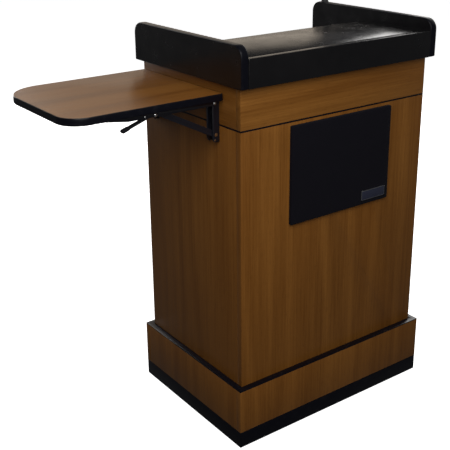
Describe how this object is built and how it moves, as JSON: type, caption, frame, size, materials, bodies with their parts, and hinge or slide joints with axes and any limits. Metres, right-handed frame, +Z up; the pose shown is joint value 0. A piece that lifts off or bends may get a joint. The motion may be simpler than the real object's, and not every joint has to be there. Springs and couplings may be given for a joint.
{
  "type": "presentation lectern",
  "caption": "Freestanding walnut-laminate lectern with winged black top, folding side shelf, keyboard tray, loudspeaker, gooseneck microphone, rear doors and hidden casters.",
  "frame": {"origin": "middle of the whole object's bounding box in X and Y, on the floor plane under the casters", "axes": "+Z up; -Y faces the audience and +Y the presenter; the side shelf is at -X"},
  "size_m": [1.1132, 0.5462, 1.4784],
  "materials": {
    "walnut_laminate": "satin walnut laminate, straight vertical grain",
    "black_laminate": "satin black laminate with a fine pebble",
    "black_edge": "glossy black edge moulding",
    "grille_cloth": "plain woven black speaker cloth",
    "badge_plate": "blank satin plate in a dark border",
    "black_steel": "black powder coat",
    "zinc_steel": "bright zinc plating",
    "caster_rubber": "moulded grey-black tread",
    "speaker_paper": "treated black paper cone",
    "black_plastic": "fine textured black plastic"
  },
  "bodies": {
    "cabinet": {"left_side_panel": "walnut_laminate", "right_side_panel": "walnut_laminate", "front_panel": "walnut_laminate", "floor_panel": "walnut_laminate", "inner_shelf": "walnut_laminate", "divider_panel": "walnut_laminate", "seam_trim": "black_edge", "upper_front_panel": "walnut_laminate", "upper_left_panel": "walnut_laminate", "upper_right_panel": "walnut_laminate", "left_wing": "black_laminate", "right_wing": "black_laminate", "front_fascia": "black_laminate", "work_surface": "black_laminate", "reading_surface": "black_laminate", "paper_stop": "black_edge", "skirt_front": "walnut_laminate", "skirt_rear": "walnut_laminate", "skirt_left": "walnut_laminate", "skirt_right": "walnut_laminate", "skirt_cap": "black_edge", "kick_frame": "black_edge", "tray_slide_left": "zinc_steel", "tray_slide_right": "zinc_steel", "speaker_grille": "grille_cloth", "badge": "badge_plate", "speaker_basket": "black_steel", "speaker_cone": "speaker_paper", "amplifier": "black_steel", "front_wall_leg": "black_steel", "rear_wall_leg": "black_steel", "mic_socket": "black_plastic"},
    "side_shelf": {"side_shelf": "walnut_laminate", "shelf_edge_trim": "black_edge", "front_arm": "black_steel", "rear_arm": "black_steel"},
    "front_strut": {"front_strut": "black_steel"},
    "rear_strut": {"rear_strut": "black_steel"},
    "front_release_lever": {"front_release_lever": "black_steel"},
    "rear_release_lever": {"rear_release_lever": "black_steel"},
    "left_door": {"left_door": "walnut_laminate", "left_door_pull": "black_steel"},
    "right_door": {"right_door": "walnut_laminate", "right_door_pull": "black_steel"},
    "door_lock": {"door_lock": "zinc_steel"},
    "keyboard_tray": {"keyboard_tray": "black_laminate"},
    "volume_knob": {"volume_knob": "black_plastic"},
    "tone_knob": {"tone_knob": "black_plastic"},
    "power_rocker": {"power_rocker": "black_plastic"},
    "gooseneck_lower": {"gooseneck_lower": "black_steel"},
    "gooseneck_upper": {"gooseneck_upper": "black_steel", "mic_head": "black_plastic"},
    "caster_fork_front_left": {"caster_fork_front_left": "zinc_steel"},
    "caster_wheel_front_left": {"caster_wheel_front_left": "caster_rubber"},
    "caster_fork_front_right": {"caster_fork_front_right": "zinc_steel"},
    "caster_wheel_front_right": {"caster_wheel_front_right": "caster_rubber"},
    "caster_fork_rear_left": {"caster_fork_rear_left": "zinc_steel"},
    "caster_wheel_rear_left": {"caster_wheel_rear_left": "caster_rubber"},
    "caster_fork_rear_right": {"caster_fork_rear_right": "zinc_steel"},
    "caster_wheel_rear_right": {"caster_wheel_rear_right": "caster_rubber"}
  },
  "joints": [
    {"name": "shelf_fold", "type": "hinge", "parent": "cabinet", "child": "side_shelf", "pos_m": [-0.13865, 0.0004, 0.969], "axis": [0, -1, 0], "range_deg": [0, 90]},
    {"name": "front_strut_turn", "type": "hinge", "parent": "cabinet", "child": "front_strut", "pos_m": [-0.13365, -0.1466, 0.885], "axis": [0, -1, 0], "range_deg": [0, 116.69]},
    {"name": "front_lever_squeeze", "type": "hinge", "parent": "side_shelf", "child": "front_release_lever", "pos_m": [-0.31265, -0.1406, 0.966], "axis": [0, 1, 0], "range_deg": [0, 18.01]},
    {"name": "rear_strut_turn", "type": "hinge", "parent": "cabinet", "child": "rear_strut", "pos_m": [-0.13365, 0.1449, 0.885], "axis": [0, -1, 0], "range_deg": [0, 116.69]},
    {"name": "rear_lever_squeeze", "type": "hinge", "parent": "side_shelf", "child": "rear_release_lever", "pos_m": [-0.31265, 0.1509, 0.966], "axis": [0, 1, 0], "range_deg": [0, 18.01]},
    {"name": "left_door_hinge", "type": "hinge", "parent": "cabinet", "child": "left_door", "pos_m": [-0.10325, 0.2069, 0.537], "axis": [0, 0, 1], "range_deg": [0, 110]},
    {"name": "right_door_hinge", "type": "hinge", "parent": "cabinet", "child": "right_door", "pos_m": [0.51795, 0.2069, 0.537], "axis": [0, 0, -1], "range_deg": [0, 110]},
    {"name": "door_lock_turn", "type": "hinge", "parent": "right_door", "child": "door_lock", "pos_m": [0.24335, 0.1954, 0.64], "axis": [0, -1, 0], "range_deg": [0, 90]},
    {"name": "tray_slide", "type": "slide", "parent": "cabinet", "child": "keyboard_tray", "axis": [0, 1, 0], "range_m": [0, 0.28]},
    {"name": "volume_turn", "type": "hinge", "parent": "cabinet", "child": "volume_knob", "pos_m": [0.14735, 0.1354, 0.55215], "axis": [0, -1, 0], "range_deg": [0, 300]},
    {"name": "tone_turn", "type": "hinge", "parent": "cabinet", "child": "tone_knob", "pos_m": [0.09735, 0.1354, 0.55215], "axis": [0, -1, 0], "range_deg": [0, 300]},
    {"name": "power_press", "type": "hinge", "parent": "cabinet", "child": "power_rocker", "pos_m": [-0.06165, 0.1254, 0.55215], "axis": [-1, 0, 0], "range_deg": [0, 16]},
    {"name": "mic_tilt", "type": "hinge", "parent": "cabinet", "child": "gooseneck_lower", "pos_m": [0.53985, 0.1819, 1.1578], "axis": [-0.6, -0.8, 0], "range_deg": [-40, 40]},
    {"name": "gooseneck_bend", "type": "hinge", "parent": "gooseneck_lower", "child": "gooseneck_upper", "pos_m": [0.53985, 0.1819, 1.3003], "axis": [-0.6, -0.8, 0], "range_deg": [-40, 40]},
    {"name": "caster_swivel_front_left", "type": "hinge", "parent": "cabinet", "child": "caster_fork_front_left", "pos_m": [-0.02265, -0.1526, 0.106], "axis": [0, 0, 1], "continuous": true},
    {"name": "caster_roll_front_left", "type": "hinge", "parent": "caster_fork_front_left", "child": "caster_wheel_front_left", "pos_m": [-0.02265, -0.1286, 0.0375], "axis": [1, 0, 0], "continuous": true},
    {"name": "caster_swivel_front_right", "type": "hinge", "parent": "cabinet", "child": "caster_fork_front_right", "pos_m": [0.43735, -0.1526, 0.106], "axis": [0, 0, 1], "continuous": true},
    {"name": "caster_roll_front_right", "type": "hinge", "parent": "caster_fork_front_right", "child": "caster_wheel_front_right", "pos_m": [0.43735, -0.1286, 0.0375], "axis": [1, 0, 0], "continuous": true},
    {"name": "caster_swivel_rear_left", "type": "hinge", "parent": "cabinet", "child": "caster_fork_rear_left", "pos_m": [-0.02265, 0.1074, 0.106], "axis": [0, 0, 1], "continuous": true},
    {"name": "caster_roll_rear_left", "type": "hinge", "parent": "caster_fork_rear_left", "child": "caster_wheel_rear_left", "pos_m": [-0.02265, 0.1314, 0.0375], "axis": [1, 0, 0], "continuous": true},
    {"name": "caster_swivel_rear_right", "type": "hinge", "parent": "cabinet", "child": "caster_fork_rear_right", "pos_m": [0.43735, 0.1074, 0.106], "axis": [0, 0, 1], "continuous": true},
    {"name": "caster_roll_rear_right", "type": "hinge", "parent": "caster_fork_rear_right", "child": "caster_wheel_rear_right", "pos_m": [0.43735, 0.1314, 0.0375], "axis": [1, 0, 0], "continuous": true}
  ],
  "couplings": [
    {"joint": "front_strut_turn", "follows": "shelf_fold", "ratio": 1.2964},
    {"joint": "front_lever_squeeze", "follows": "shelf_fold", "ratio": 0.2},
    {"joint": "rear_strut_turn", "follows": "shelf_fold", "ratio": 1.2964},
    {"joint": "rear_lever_squeeze", "follows": "shelf_fold", "ratio": 0.2}
  ]
}
